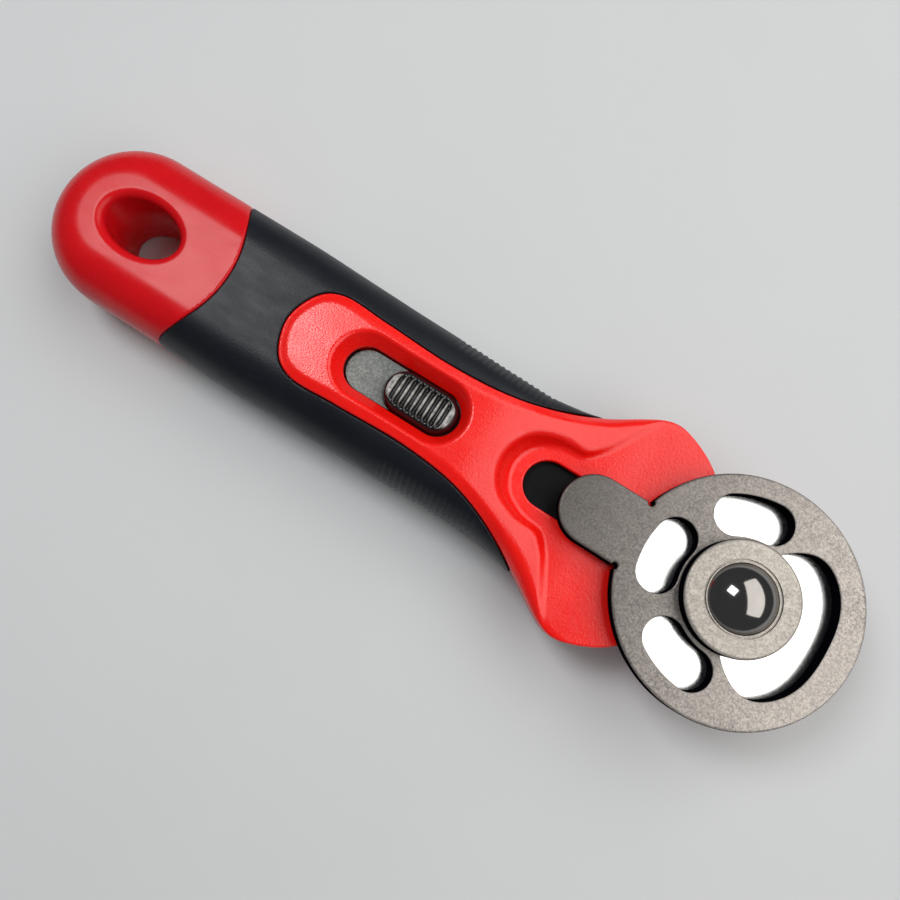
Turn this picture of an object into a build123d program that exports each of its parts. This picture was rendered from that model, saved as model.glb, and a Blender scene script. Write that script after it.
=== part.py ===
from build123d import *
import os
from math import cos, pi, sin

# Rotary cutter with a sliding blade guard. All sizes are in millimetres.
#
# The origin is on the blade's axis, on the seat of the head that the blade lies against.
# +Z runs out of the seat through the blade and the guard. The handle runs along -X, and the
# cutter is symmetric about Y = 0.

# ---- blade and guard ----
BLADE_RADIUS = 22.5
BLADE_BORE_RADIUS = 4.0
BLADE_BOTTOM = 0.05
BLADE_TOP = 0.35
BLADE_BEVEL = 0.9

GUARD_RADIUS = 24.3
GUARD_X = 0.45
GUARD_BOTTOM = 0.7
GUARD_TOP = 4.5
GUARD_TRAVEL = 8.5
GUARD_EDGE = 0.6
TAIL_END = -38.5
TAIL_HALF_WIDTH = 7.15
TAIL_RELIEF = 0.6
SLOT_OUTER = 20.3
SLOT_INNER = 12.1
SLOT_ANGLES = (108, 180, 252)
SLOT_SWEEP = 26.8
SLOT_EDGE = 0.3
# Half outline of the opening in front of the hub, from under the flange to the middle of its front edge.
FRONT_OPENING = [(0.0, 5.8), (4.3, 12.7), (10.3, 15.15), (16.1, 11.3), (19.0, 0.0)]

# ---- hub: collar, bolt, washers and nut, all on the blade's axis ----
FLANGE_RADIUS = 11.2
FLANGE_BOTTOM = 4.7
FLANGE_TOP = 8.2
FLANGE_EDGE = 0.8
NECK_RADIUS = 6.5
NECK_SLOT_CLEARANCE = 0.5
NECK_BOTTOM = 0.4
BOSS_RADIUS = 3.95
DOME_RADIUS = 6.75
DOME_HEIGHT = 3.7
RING_GROOVE_INNER = 7.0
RING_GROOVE_OUTER = 7.4
RING_GROOVE_DEPTH = 0.35
SQUARE_NECK = 5.0
SQUARE_CLEARANCE = 0.1
BOLT_RADIUS = 2.5
BOLT_END = -15.0
BOLT_TIP_BEVEL = 0.5
BOLT_CLEARANCE = 0.05
WASHER_RADIUS = 5.5
WASHER_BORE = 2.7
WASHER_THICKNESS = 0.8
SPRING_WASHER_RADIUS = 4.4
SPRING_WASHER_THICKNESS = 1.1
SPRING_WASHER_SPLIT = 0.8
SPRING_WASHER_SPLIT_TURN = 35
SPRING_WASHER_SPLIT_LEAN = 30
NUT_RADIUS = 10.5
NUT_TOP = -9.4
NUT_BOTTOM = -16.0
NUT_EDGE = 1.2
NUT_RECESS_RADIUS = 6.0
NUT_FLUTES = 24
NUT_FLUTE_RADIUS = 0.8
NUT_FLUTE_OUTSET = 0.2
NUT_BORE_RADIUS = 2.9
INSERT_FLATS = 8.0
INSERT_TOP = -10.95
INSERT_BOTTOM = -15.2
INSERT_SINK = 0.1
INSERT_CLEARANCE = 0.02

# ---- handle ----
# Stations along the handle: x, half width, top, bottom, corner radius. The grip's bottom is trimmed
# flat at HANDLE_BOTTOM, so that it rests on it.
STATIONS = [
    (-126.0, 17.80, 5.5, -16.2, 9.3),
    (-111.0, 17.85, 5.5, -16.2, 9.3),
    (-96.0, 17.50, 5.5, -16.2, 9.3),
    (-82.0, 17.10, 5.5, -16.2, 9.2),
    (-70.0, 16.90, 5.5, -16.2, 9.0),
    (-60.0, 16.65, 5.1, -16.2, 8.5),
    (-51.0, 16.60, 3.9, -15.6, 7.5),
    (-44.0, 17.40, 2.6, -14.2, 6.2),
    (-38.0, 19.40, 1.5, -12.3, 5.0),
    (-32.0, 23.00, 0.7, -10.4, 3.8),
    (-26.0, 26.20, 0.1, -9.2, 3.0),
    (-20.0, 27.00, 0.0, -9.0, 3.0),
]
HANDLE_TOP = 5.5
HANDLE_BOTTOM = -16.1
HEAD_BOTTOM = -9.0
HEAD_FRONT_RADIUS = 16.0
HEAD_START = -39.5
CORE_OVERLAP = 2.0
SMALLEST_CORNER = 0.5
SECTION_SPACING = 5.0
FRONT_BLOCK_START = -23.0
FRONT_BLOCK_HALF_WIDTH = 30.0

TAIL_CENTRE = -145.1
TAIL_LENGTH_RADIUS = 17.6
TAIL_WIDTH_RADIUS = 17.8
TAIL_ROUND = 9.3
SEAM_CENTRE = -142.6
SEAM_RADIUS = 24.0
SEAM_GAP = 0.15
HANG_HOLE_X = -140.05
HANG_HOLE_LENGTH_RADIUS = 8.75
HANG_HOLE_WIDTH_RADIUS = 5.7
HANG_HOLE_ROUND = 1.8

# How far cutting shapes run on past the faces they cut, and how far blocks round the handle reach.
PAST = 1.0
WIDE = 40.0
DEEP = -30.0
HIGH = 20.0

# ---- front cover: the tongue along the grip and the face of the head ----
# Half outline in plan, from the rear of the tongue round to the front of the head.
COVER_EDGE = [
    (-104.2, 0.0),
    (-101.4, 7.4),
    (-96.5, 9.8),
    (-86.0, 9.7),
    (-70.0, 9.2),
    (-58.0, 10.3),
    (-50.0, 12.6),
    (-42.2, 16.3),
    (-35.1, 20.4),
    (-29.1, 24.0),
    (-25.4, 25.0),
    (-21.8, 24.3),
    (-15.6, 21.2),
    (-8.0, 13.856),
]
COVER_PROUD = 0.4
COVER_GAP = 0.2
PART_GAP = 0.03
TONGUE_PARTING = 1.9
HEAD_PARTING = -4.0
PARTING_BEND = (-58.0, -46.0)

# The plateau and the pocket for the guard's tail, half outlines at the floor and at the rim.
PLATEAU_FLOOR = [
    (-49.7, 0.0),
    (-47.9, 5.0),
    (-43.2, 7.9),
    (-38.2, 8.9),
    (-35.2, 11.8),
    (-32.9, 15.6),
    (-28.4, 24.2),
]
PLATEAU_RIM = [
    (-52.0, 0.0),
    (-49.9, 6.2),
    (-44.6, 9.6),
    (-39.6, 11.1),
    (-37.4, 13.4),
    (-35.2, 17.2),
    (-31.0, 25.6),
]
PLATEAU_RIM_TOP = 4.2
PLATEAU_FRONT = 30.0
POCKET_FLOOR_THICKNESS = 1.6
POCKET_SLOT_START = -46.5
POCKET_SLOT_END = -28.6
POCKET_SLOT_HALF_WIDTH = 4.95

WINDOW_START = -89.4
WINDOW_END = -63.0
WINDOW_HALF_WIDTH = 4.8
WINDOW_RIM_START = -90.9
WINDOW_RIM_END = -61.4
WINDOW_RIM_HALF_WIDTH = 6.9
WINDOW_BEVEL_BOTTOM = 3.0

# ---- slider, button and detent spring ----
SLIDER_START = -89.0
SLIDER_HALF_WIDTH = 4.5
SLIDER_TOP = 1.5
SLIDER_BOTTOM = -0.4
LINK_START = -55.5
LINK_END = -53.0
FOOT_END = -29.0
FOOT_HALF_WIDTH = 6.3
FOOT_TOP = -2.0
FOOT_BOTTOM = -3.6
GUARD_BOSS_X = -33.2
GUARD_BOSS_RADIUS = 4.4

BUTTON_START = -80.1
BUTTON_END = -63.25
BUTTON_HALF_WIDTH = 4.65
BUTTON_TOP = 5.0
BUTTON_TOP_INSET = 1.0
BUTTON_SKIRT = 1.0
END_FLAT = 0.3
BUTTON_RIBS = 10
BUTTON_RIB_PITCH = 1.4
BUTTON_GROOVE_RADIUS = 0.5
PEG_LENGTH = 6.0
PEG_HALF_WIDTH = 2.0
PEG_CLEARANCE = 0.05

SPRING_START = -93.5
SPRING_END = -67.5
SPRING_HALF_WIDTH = 2.9
SPRING_END_Z = -1.65
SPRING_CROWN_Z = -0.9
SPRING_THICKNESS = 0.4
SPRING_END_ROOM = 0.7
SPRING_SIDE_ROOM = 0.2
SPRING_FLOOR_ROOM = 0.05
SPRING_LEDGE = 1.5
SPRING_LEDGE_HALF_WIDTH = 2.6

# ---- inner walls and channels ----
SLEEVE_END = -40.6
SLEEVE_THICKNESS = 2.4
SLEEVE_GAP = 0.05
CORE_WALL = 2.4
CHANNEL_START = -98.2
CHANNEL_HALF_WIDTH = 4.9
CHANNEL_FLOOR = -0.6
FLOOR_SLAB_BOTTOM = -2.6
FLOOR_SLAB_END = -65.2
FOOT_CHANNEL_HALF_WIDTH = 6.6
FOOT_CHANNEL_BOTTOM = -6.4
LINK_ROOM_END = -52.6
CAVITY_START = -112.0
CAVITY_END = -66.0
CAVITY_LAST_STATION = -51.0

# ---- screws ----
SCREW_RADIUS = 1.25
SCREW_HEAD_RADIUS = 2.6
SCREW_HEAD_HEIGHT = 1.7
SCREW_HEAD_ROUND = 0.7
SCREW_TIP_BEVEL = 0.3
SCREW_CLEARANCE = 0.05
SCREW_LENGTH = 6.0
COUNTERBORE_RADIUS = 2.9
SLEEVE_PORT_RADIUS = 3.2
CROSS_LENGTH = 3.0
CROSS_WIDTH = 0.7
CROSS_DEPTH = 0.9
HEAD_SCREW_X = -30.5
HEAD_SCREW_Y = 16.5
HEAD_SCREW_SEAT = -7.2
REAR_SCREW_X = -101.0
REAR_SCREW_SEAT = -1.7
SCREW_COLUMN_RADIUS = 3.9
GUARD_SCREW_TIP = 3.4
BLIND_END_GAP = 0.2

# ---------------------------------------------------------------- shared shapes


def block(x0, x1, half_y, z0, z1):
    """A box from x0 to x1 and z0 to z1, centred on Y = 0."""
    return Pos((x0 + x1) / 2, 0, (z0 + z1) / 2) * Box(x1 - x0, 2 * half_y, z1 - z0)


def rod(radius, z0, z1, x=0.0, y=0.0):
    """An upright cylinder from z0 to z1."""
    return Pos(x, y, (z0 + z1) / 2) * Cylinder(radius, z1 - z0)


def symmetric(solid):
    """The half of a solid on the +Y side, joined with its mirror image."""
    length = 2 * (PLATEAU_FRONT - TAIL_CENTRE + TAIL_LENGTH_RADIUS)
    half = solid & (Pos(0, WIDE / 2, 0) * Box(length, WIDE, HIGH - DEEP))
    return half + mirror(half, Plane.XZ)


def plan_slot(x0, x1, half_y, z0, z1):
    """An upright slot along X with round ends."""
    outline = Pos((x0 + x1) / 2, 0, z0) * SlotOverall(x1 - x0, 2 * half_y)
    return extrude(outline, z1 - z0, dir=(0, 0, 1))


def round_ended(x, length, half_y, z):
    """A flat shape at height z, centred on x, with nearly half-round ends."""
    return Pos(x, 0, z) * RectangleRounded(length, 2 * half_y, half_y - END_FLAT)


def half_outline(points, side):
    """A curve that leaves the X axis squarely and runs through points, on the side of +Y or -Y."""
    places = [Vector(x, side * y) for x, y in points]
    last_step = (places[-1] - places[-2]).normalized()
    return Spline(*places, tangents=[(0, side), last_step])


def mirrored_outline(points):
    """The half outlines on both sides of the X axis."""
    return half_outline(points, 1), half_outline(points, -1)


def slopes(xs, values):
    """Slopes for a smooth curve through the values that never swings past them."""
    steps = [(v1 - v0) / (x1 - x0) for x0, x1, v0, v1 in zip(xs, xs[1:], values, values[1:])]
    inner = []
    for before, after in zip(steps, steps[1:]):
        flat = before * after <= 0
        inner.append(0.0 if flat else 2 * before * after / (before + after))
    return [steps[0]] + inner + [steps[-1]]


def station_at(x):
    """Half width, top, bottom and corner radius of the handle at x, smooth between STATIONS."""
    xs = [station[0] for station in STATIONS]
    index = max(i for i, start in enumerate(xs[:-1]) if start <= x)
    length = xs[index + 1] - xs[index]
    t = (x - xs[index]) / length
    result = []
    for values in list(zip(*STATIONS))[1:]:
        slope = slopes(xs, values)
        rise = values[index + 1] - values[index]
        swing = slope[index] * length * t * (1 - t) ** 2 - slope[index + 1] * length * t**2 * (1 - t)
        result.append(values[index] + rise * t * t * (3 - 2 * t) + swing)
    return result


def handle_loft(offset_at, last_x=STATIONS[-1][0]):
    """The outer form of grip, neck and head, moved outwards by offset_at(x), as far as last_x."""
    first_x = STATIONS[0][0]
    count = round((last_x - first_x) / SECTION_SPACING)
    sections = []
    for index in range(count + 1):
        x = first_x + (last_x - first_x) * index / count
        half_width, top, bottom, corner = station_at(x)
        grow = offset_at(x)
        plane = Plane(origin=(x, 0, (top + bottom) / 2), x_dir=(0, 1, 0), z_dir=(1, 0, 0))
        radius = max(corner + grow, SMALLEST_CORNER)
        outline = RectangleRounded(2 * (half_width + grow), top - bottom + 2 * grow, radius)
        sections.append(plane * outline)
    return loft(sections)


def inside_outline(offset_at):
    """The part of the handle inside the cover's outline, carried on to the front of the head."""
    outline = cover_prism(0.0)
    front = block(FRONT_BLOCK_START, PLATEAU_FRONT, FRONT_BLOCK_HALF_WIDTH, HEAD_BOTTOM, 0)
    return (handle_loft(offset_at) & outline) + (front & outline)


def cover_prism(gap):
    """The cover's plan outline, grown by gap along the tongue, as a tall prism."""
    points = [(COVER_EDGE[0][0] - gap, 0.0)] + [(x, y + gap) for x, y in COVER_EDGE[1:]]
    upper, lower = mirrored_outline(points)
    front = ThreePointArc(points[-1], (HEAD_FRONT_RADIUS + gap, 0), (points[-1][0], -points[-1][1]))
    outline = make_face([upper, front, lower])
    return extrude(Pos(0, 0, HANDLE_BOTTOM - 1) * outline, HANDLE_TOP - HANDLE_BOTTOM + 3, dir=(0, 0, 1))


def above_parting(drop):
    """Everything above the parting line between body and cover, lowered by drop."""
    bend_start, bend_end = PARTING_BEND
    rear = STATIONS[0][0]
    line = Polyline(
        (rear, TONGUE_PARTING - drop),
        (bend_start, TONGUE_PARTING - drop),
        (bend_end, HEAD_PARTING - drop),
        (PLATEAU_FRONT, HEAD_PARTING - drop),
        (PLATEAU_FRONT, 12),
        (rear, 12),
        close=True,
    )
    return extrude(Plane.XZ * make_face(line), 32, both=True)


def slider_room():
    """The room in body and cover that the slider's link and foot need along their travel."""
    bottom = FOOT_CHANNEL_BOTTOM
    foot = block(FLOOR_SLAB_END, POCKET_SLOT_END, FOOT_CHANNEL_HALF_WIDTH, bottom, -POCKET_FLOOR_THICKNESS)
    link = block(FLOOR_SLAB_END, LINK_ROOM_END, CHANNEL_HALF_WIDTH, bottom, TONGUE_PARTING)
    return foot + link


def screw(seat, length):
    """A pan-head screw pointing up, with its head's flat face at z = seat."""
    head = rod(SCREW_HEAD_RADIUS, seat - SCREW_HEAD_HEIGHT, seat)
    head = fillet(head.edges().sort_by(Axis.Z)[0], SCREW_HEAD_ROUND)
    floor = seat - SCREW_HEAD_HEIGHT + CROSS_DEPTH
    cross = Pos(0, 0, floor - 1) * (Box(CROSS_LENGTH, CROSS_WIDTH, 2) + Box(CROSS_WIDTH, CROSS_LENGTH, 2))
    shank = rod(SCREW_RADIUS, seat, seat + length)
    shank = chamfer(shank.edges().sort_by(Axis.Z)[-1], SCREW_TIP_BEVEL)
    return head + shank - cross


# ---------------------------------------------------------------- handle


def tail():
    """The rounded end of the handle, cut on an arc where the grip starts, with its hang hole."""
    end_x = HEAD_START - 50
    half = TAIL_WIDTH_RADIUS
    rear = EllipticalCenterArc((TAIL_CENTRE, 0), TAIL_LENGTH_RADIUS, half, start_angle=90, arc_size=180)
    sides = Polyline((TAIL_CENTRE, -half), (end_x, -half), (end_x, half), (TAIL_CENTRE, half))
    outline = Pos(0, 0, HANDLE_BOTTOM) * make_face([rear, sides])
    bar = extrude(outline, HANDLE_TOP - HANDLE_BOTTOM, dir=(0, 0, 1))
    long_edges = [
        edge
        for edge in bar.edges().filter_by_position(Axis.Z, HANDLE_BOTTOM, HANDLE_BOTTOM)
        + bar.edges().filter_by_position(Axis.Z, HANDLE_TOP, HANDLE_TOP)
        if edge.center().X < end_x - 1
    ]
    bar = fillet(long_edges, TAIL_ROUND)
    bar = bar & rod(SEAM_RADIUS, HANDLE_BOTTOM - 1, HANDLE_TOP + 1, x=SEAM_CENTRE)
    hole = Pos(HANG_HOLE_X, 0, HANDLE_BOTTOM - 1) * Ellipse(HANG_HOLE_LENGTH_RADIUS, HANG_HOLE_WIDTH_RADIUS)
    bar = bar - extrude(hole, HANDLE_TOP - HANDLE_BOTTOM + 2, dir=(0, 0, 1))
    rims = [
        edge
        for edge in bar.edges()
        if abs(edge.bounding_box().size.Y - 2 * HANG_HOLE_WIDTH_RADIUS) < 0.01
    ]
    return fillet(rims, HANG_HOLE_ROUND)


def body_shell():
    """The red body: tail, hollow core under the grip, and the lower half of the head."""
    core = handle_loft(lambda x: -SLEEVE_THICKNESS - SLEEVE_GAP)
    core = core & block(STATIONS[0][0] - 1, HEAD_START + CORE_OVERLAP, WIDE, DEEP, HIGH)
    core = core - (cover_prism(COVER_GAP) & above_parting(PART_GAP)) - body_hollows()
    lower = block(HEAD_START, PLATEAU_FRONT, WIDE, DEEP, HEAD_PARTING - PART_GAP)
    head = (inside_outline(lambda x: 0.0) & lower) - slider_room()
    return core + head + tail() - body_holes()


def body_hollows():
    """The slider's channel, the spring's pocket and the hollow inside the core."""
    channel = block(CHANNEL_START, LINK_ROOM_END, CHANNEL_HALF_WIDTH, CHANNEL_FLOOR, HANDLE_TOP)
    start, end = SPRING_START - SPRING_END_ROOM, SPRING_END + SPRING_END_ROOM
    pocket_floor = SPRING_END_Z - SPRING_FLOOR_ROOM
    pocket = block(start, end, SPRING_HALF_WIDTH + SPRING_SIDE_ROOM, pocket_floor, CHANNEL_FLOOR)
    start, end = SPRING_START + SPRING_LEDGE, SPRING_END - SPRING_LEDGE
    window = block(start, end, SPRING_LEDGE_HALF_WIDTH, FLOOR_SLAB_BOTTOM - PAST, CHANNEL_FLOOR)
    cavity = handle_loft(lambda x: -SLEEVE_THICKNESS - SLEEVE_GAP - CORE_WALL, CAVITY_LAST_STATION)
    cavity = cavity & block(CAVITY_START, CAVITY_END, WIDE, DEEP, FLOOR_SLAB_BOTTOM)
    cavity = cavity - rod(SCREW_COLUMN_RADIUS, HANDLE_BOTTOM, HANDLE_TOP, x=REAR_SCREW_X)
    return channel + pocket + window + cavity + slider_room()


def body_holes():
    """Holes through the body for the bolt and the cover screws."""
    holes = rod(BOLT_RADIUS + BOLT_CLEARANCE, -20, 1)
    for x, y, seat in screw_places():
        holes += rod(COUNTERBORE_RADIUS, HANDLE_BOTTOM - 1, seat, x, y)
        holes += rod(SCREW_RADIUS + SCREW_CLEARANCE, seat - 1, seat + SCREW_LENGTH + 1, x, y)
    return holes


def screw_places():
    """The x, y and seat height of each cover screw."""
    return [
        (HEAD_SCREW_X, HEAD_SCREW_Y, HEAD_SCREW_SEAT),
        (HEAD_SCREW_X, -HEAD_SCREW_Y, HEAD_SCREW_SEAT),
        (REAR_SCREW_X, 0.0, REAR_SCREW_SEAT),
    ]


def grip_sleeve():
    """The soft black grip moulded round the core, open along the top for the cover's tongue."""
    outer = handle_loft(lambda x: 0.0) & block(STATIONS[0][0] + 0.05, SLEEVE_END, WIDE, DEEP, HIGH)
    sleeve = outer - handle_loft(lambda x: -SLEEVE_THICKNESS)
    sleeve = sleeve - rod(SEAM_RADIUS + SEAM_GAP, DEEP, HIGH, x=SEAM_CENTRE)
    sleeve = sleeve - (cover_prism(COVER_GAP) & above_parting(COVER_GAP))
    sleeve = sleeve - rod(SLEEVE_PORT_RADIUS, DEEP, HANDLE_BOTTOM + 6, x=REAR_SCREW_X)
    return symmetric(sleeve - block(STATIONS[0][0] - 1, SLEEVE_END + 1, WIDE, DEEP, HANDLE_BOTTOM))


# ---------------------------------------------------------------- front cover


def proud_at(x):
    """How far the cover stands above the grip at x: even along the tongue, nothing at the head."""
    full, none = PARTING_BEND[0], -38.0
    share = (none - x) / (none - full)
    return COVER_PROUD * min(1.0, max(0.0, share))


def front_cover():
    """The bright red front: a tongue along the grip and the face of the head."""
    cover = inside_outline(proud_at) & above_parting(0.0)
    cover = cover - plateau_cutter() - window_cutter() - slider_room()
    slot_bottom = -POCKET_FLOOR_THICKNESS - 1
    slot = plan_slot(POCKET_SLOT_START, POCKET_SLOT_END, POCKET_SLOT_HALF_WIDTH, slot_bottom, 1)
    cover = cover - slot - square_hole(HEAD_PARTING - 1, 1)
    for x, y, seat in screw_places():
        tip = seat + SCREW_LENGTH + BLIND_END_GAP
        cover = cover - rod(SCREW_RADIUS + SCREW_CLEARANCE, seat, tip, x, y)
    return cover


def plateau_cutter():
    """The step down to the blade's seat, with the pocket that the guard's tail slides in."""
    faces = []
    for points, z in ((PLATEAU_FLOOR, 0.0), (PLATEAU_RIM, PLATEAU_RIM_TOP)):
        upper, lower = mirrored_outline(points)
        x, y = points[-1]
        corners = [(x, WIDE), (PLATEAU_FRONT, WIDE), (PLATEAU_FRONT, -WIDE), (x, -WIDE)]
        front = Polyline((x, y), *corners, (x, -y))
        faces.append(Pos(0, 0, z) * make_face([upper, front, lower]))
    above = extrude(faces[1], PAST, dir=(0, 0, 1))
    return loft(faces, ruled=True) + above


def window_cutter():
    """The bevelled opening that the button stands in, its bevel carried on above the cover."""
    middle = (WINDOW_START + WINDOW_END) / 2
    rim_middle = (WINDOW_RIM_START + WINDOW_RIM_END) / 2
    top = HANDLE_TOP + COVER_PROUD + PAST
    straight = plan_slot(WINDOW_START, WINDOW_END, WINDOW_HALF_WIDTH, TONGUE_PARTING - 1, WINDOW_BEVEL_BOTTOM)
    low = round_ended(middle, WINDOW_END - WINDOW_START, WINDOW_HALF_WIDTH, WINDOW_BEVEL_BOTTOM)
    high = round_ended(rim_middle, WINDOW_RIM_END - WINDOW_RIM_START, WINDOW_RIM_HALF_WIDTH, top)
    return straight + loft([low, high], ruled=True)


def square_hole(z0, z1):
    """The square hole that keeps the bolt from turning."""
    side = SQUARE_NECK + SQUARE_CLEARANCE
    return Pos(0, 0, (z0 + z1) / 2) * Box(side, side, z1 - z0)


def cover_screws():
    """The three screws that hold the cover, driven from the back."""
    return [Pos(x, y, 0) * screw(seat, SCREW_LENGTH) for x, y, seat in screw_places()]


# ---------------------------------------------------------------- slider


def guard_slider():
    """The slider: a strip under the window, a link down, and a foot under the pocket's floor."""
    strip_end = LINK_END + SLIDER_HALF_WIDTH
    strip = plan_slot(SLIDER_START, strip_end, SLIDER_HALF_WIDTH, SLIDER_BOTTOM, SLIDER_TOP)
    strip = strip & block(SLIDER_START, LINK_END, 10, SLIDER_BOTTOM, SLIDER_TOP)
    link = block(LINK_START, LINK_END, SLIDER_HALF_WIDTH, FOOT_BOTTOM, SLIDER_TOP)
    foot = block(LINK_START, FOOT_END, FOOT_HALF_WIDTH, FOOT_BOTTOM, FOOT_TOP)
    boss = rod(GUARD_BOSS_RADIUS, FOOT_TOP, GUARD_BOTTOM, x=GUARD_BOSS_X)
    slider = strip + link + foot + boss
    slider = slider - rod(SCREW_RADIUS + SCREW_CLEARANCE, FOOT_BOTTOM - 1, GUARD_BOTTOM + 1, x=GUARD_BOSS_X)
    return slider - button_peg(PEG_CLEARANCE)


def button_peg(clearance):
    """The peg under the button that the slider's hole takes."""
    middle = (BUTTON_START + BUTTON_END) / 2
    half_length = PEG_LENGTH / 2 + clearance
    half_width = PEG_HALF_WIDTH + clearance
    return block(middle - half_length, middle + half_length, half_width, SLIDER_BOTTOM, SLIDER_TOP)


def slide_button():
    """The ribbed thumb button, tapered to its top, with a peg into the slider."""
    middle = (BUTTON_START + BUTTON_END) / 2
    length = BUTTON_END - BUTTON_START
    waist = SLIDER_TOP + BUTTON_SKIRT
    skirt = extrude(round_ended(middle, length, BUTTON_HALF_WIDTH, SLIDER_TOP), BUTTON_SKIRT, dir=(0, 0, 1))
    low = round_ended(middle, length, BUTTON_HALF_WIDTH, waist)
    top_half_width = BUTTON_HALF_WIDTH - BUTTON_TOP_INSET
    high = round_ended(middle, length - 2 * BUTTON_TOP_INSET, top_half_width, BUTTON_TOP)
    button = skirt + loft([low, high], ruled=True)
    first = middle - BUTTON_RIBS / 2 * BUTTON_RIB_PITCH
    for index in range(BUTTON_RIBS + 1):
        x = first + index * BUTTON_RIB_PITCH
        button = button - Pos(x, 0, BUTTON_TOP) * Rot(90, 0, 0) * Cylinder(BUTTON_GROOVE_RADIUS, 12)
    return button + button_peg(0.0)


def detent_spring():
    """A bowed strip of spring steel under the slider."""
    middle = (SPRING_START + SPRING_END) / 2
    arc = ThreePointArc((SPRING_START, SPRING_END_Z), (middle, SPRING_CROWN_Z), (SPRING_END, SPRING_END_Z))
    upper = arc.moved(Location((0, SPRING_THICKNESS, 0)))
    ends = [Line(arc @ 0, upper @ 0), Line(arc @ 1, upper @ 1)]
    return extrude(Plane.XZ * make_face([arc, upper] + ends), SPRING_HALF_WIDTH, both=True)


# ---------------------------------------------------------------- guard and blade


def blade_guard():
    """The disc that covers the blade, with its tail, slots and front opening."""
    guard = rod(GUARD_RADIUS, GUARD_BOTTOM, GUARD_TOP, x=GUARD_X)
    guard = guard + plan_slot(TAIL_END, GUARD_X, TAIL_HALF_WIDTH, GUARD_BOTTOM, GUARD_TOP)
    notch_x = GUARD_X - (GUARD_RADIUS**2 - TAIL_HALF_WIDTH**2) ** 0.5
    for side in (-1, 1):
        guard = guard - rod(TAIL_RELIEF, GUARD_BOTTOM, GUARD_TOP, notch_x, side * TAIL_HALF_WIDTH)
    guard = fillet(top_edges(guard), GUARD_EDGE)
    for angle in SLOT_ANGLES:
        guard = guard - guard_slot(angle)
    guard = guard - (front_opening() + neck_slot())
    holes = [edge for edge in top_edges(guard) if edge_in_disc(edge)]
    guard = fillet(holes, SLOT_EDGE)
    return guard - rod(SCREW_RADIUS + SCREW_CLEARANCE, 0, GUARD_SCREW_TIP + BLIND_END_GAP, x=GUARD_BOSS_X)


def top_edges(solid):
    """The edges that lie in the guard's top plane."""
    return solid.edges().filter_by_position(Axis.Z, GUARD_TOP - 0.001, GUARD_TOP + 0.001)


def edge_in_disc(edge):
    """True for an edge whose middle is well inside the disc's rim."""
    middle = edge @ 0.5
    return ((middle.X - GUARD_X) ** 2 + middle.Y**2) ** 0.5 < SLOT_OUTER + 0.5


def guard_slot(angle):
    """One slot along an arc round the disc's centre, with its middle at angle."""
    mean = (SLOT_OUTER + SLOT_INNER) / 2
    arc = CenterArc((GUARD_X, 0), mean, angle - SLOT_SWEEP / 2, SLOT_SWEEP)
    outline = Pos(0, 0, GUARD_BOTTOM - 1) * SlotArc(arc, SLOT_OUTER - SLOT_INNER)
    return extrude(outline, GUARD_TOP - GUARD_BOTTOM + 2, dir=(0, 0, 1))


def front_opening():
    """The wide opening in front of the hub."""
    full = FRONT_OPENING + [(x, -y) for x, y in reversed(FRONT_OPENING[:-1])]
    edge = Spline(*full)
    outline = make_face([edge, Line(full[-1], full[0])])
    return extrude(Pos(0, 0, GUARD_BOTTOM - 1) * outline, GUARD_TOP - GUARD_BOTTOM + 2, dir=(0, 0, 1))


def neck_slot():
    """The slot that lets the guard slide past the collar's neck."""
    reach = NECK_RADIUS + NECK_SLOT_CLEARANCE
    return plan_slot(-reach, GUARD_TRAVEL + reach, reach, GUARD_BOTTOM - 1, GUARD_TOP + 1)


def guard_screw():
    """The screw up through the slider's foot into the guard's tail."""
    return Pos(GUARD_BOSS_X, 0, 0) * screw(FOOT_BOTTOM, GUARD_SCREW_TIP - FOOT_BOTTOM)


def cutting_blade():
    """The round steel blade, ground to an edge from both faces."""
    middle = (BLADE_BOTTOM + BLADE_TOP) / 2
    shoulder = BLADE_RADIUS - BLADE_BEVEL
    profile = Polyline(
        (BLADE_BORE_RADIUS, BLADE_BOTTOM),
        (shoulder, BLADE_BOTTOM),
        (BLADE_RADIUS, middle),
        (shoulder, BLADE_TOP),
        (BLADE_BORE_RADIUS, BLADE_TOP),
        close=True,
    )
    return revolve(Plane.XZ * make_face(profile), Axis.Z)


# ---------------------------------------------------------------- hub


def pivot_collar():
    """The flanged collar that the blade turns on and the guard slides under."""
    flange = rod(FLANGE_RADIUS, FLANGE_BOTTOM, FLANGE_TOP)
    flange = fillet(flange.edges().sort_by(Axis.Z)[-1], FLANGE_EDGE)
    groove = rod(RING_GROOVE_OUTER, FLANGE_TOP - RING_GROOVE_DEPTH, FLANGE_TOP + 1)
    groove = groove - rod(RING_GROOVE_INNER, FLANGE_TOP - RING_GROOVE_DEPTH, FLANGE_TOP + 1)
    neck = rod(NECK_RADIUS, NECK_BOTTOM, FLANGE_BOTTOM)
    boss = rod(BOSS_RADIUS, 0, NECK_BOTTOM)
    return flange - groove + neck + boss - square_hole(-1, FLANGE_TOP + 1)


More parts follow.
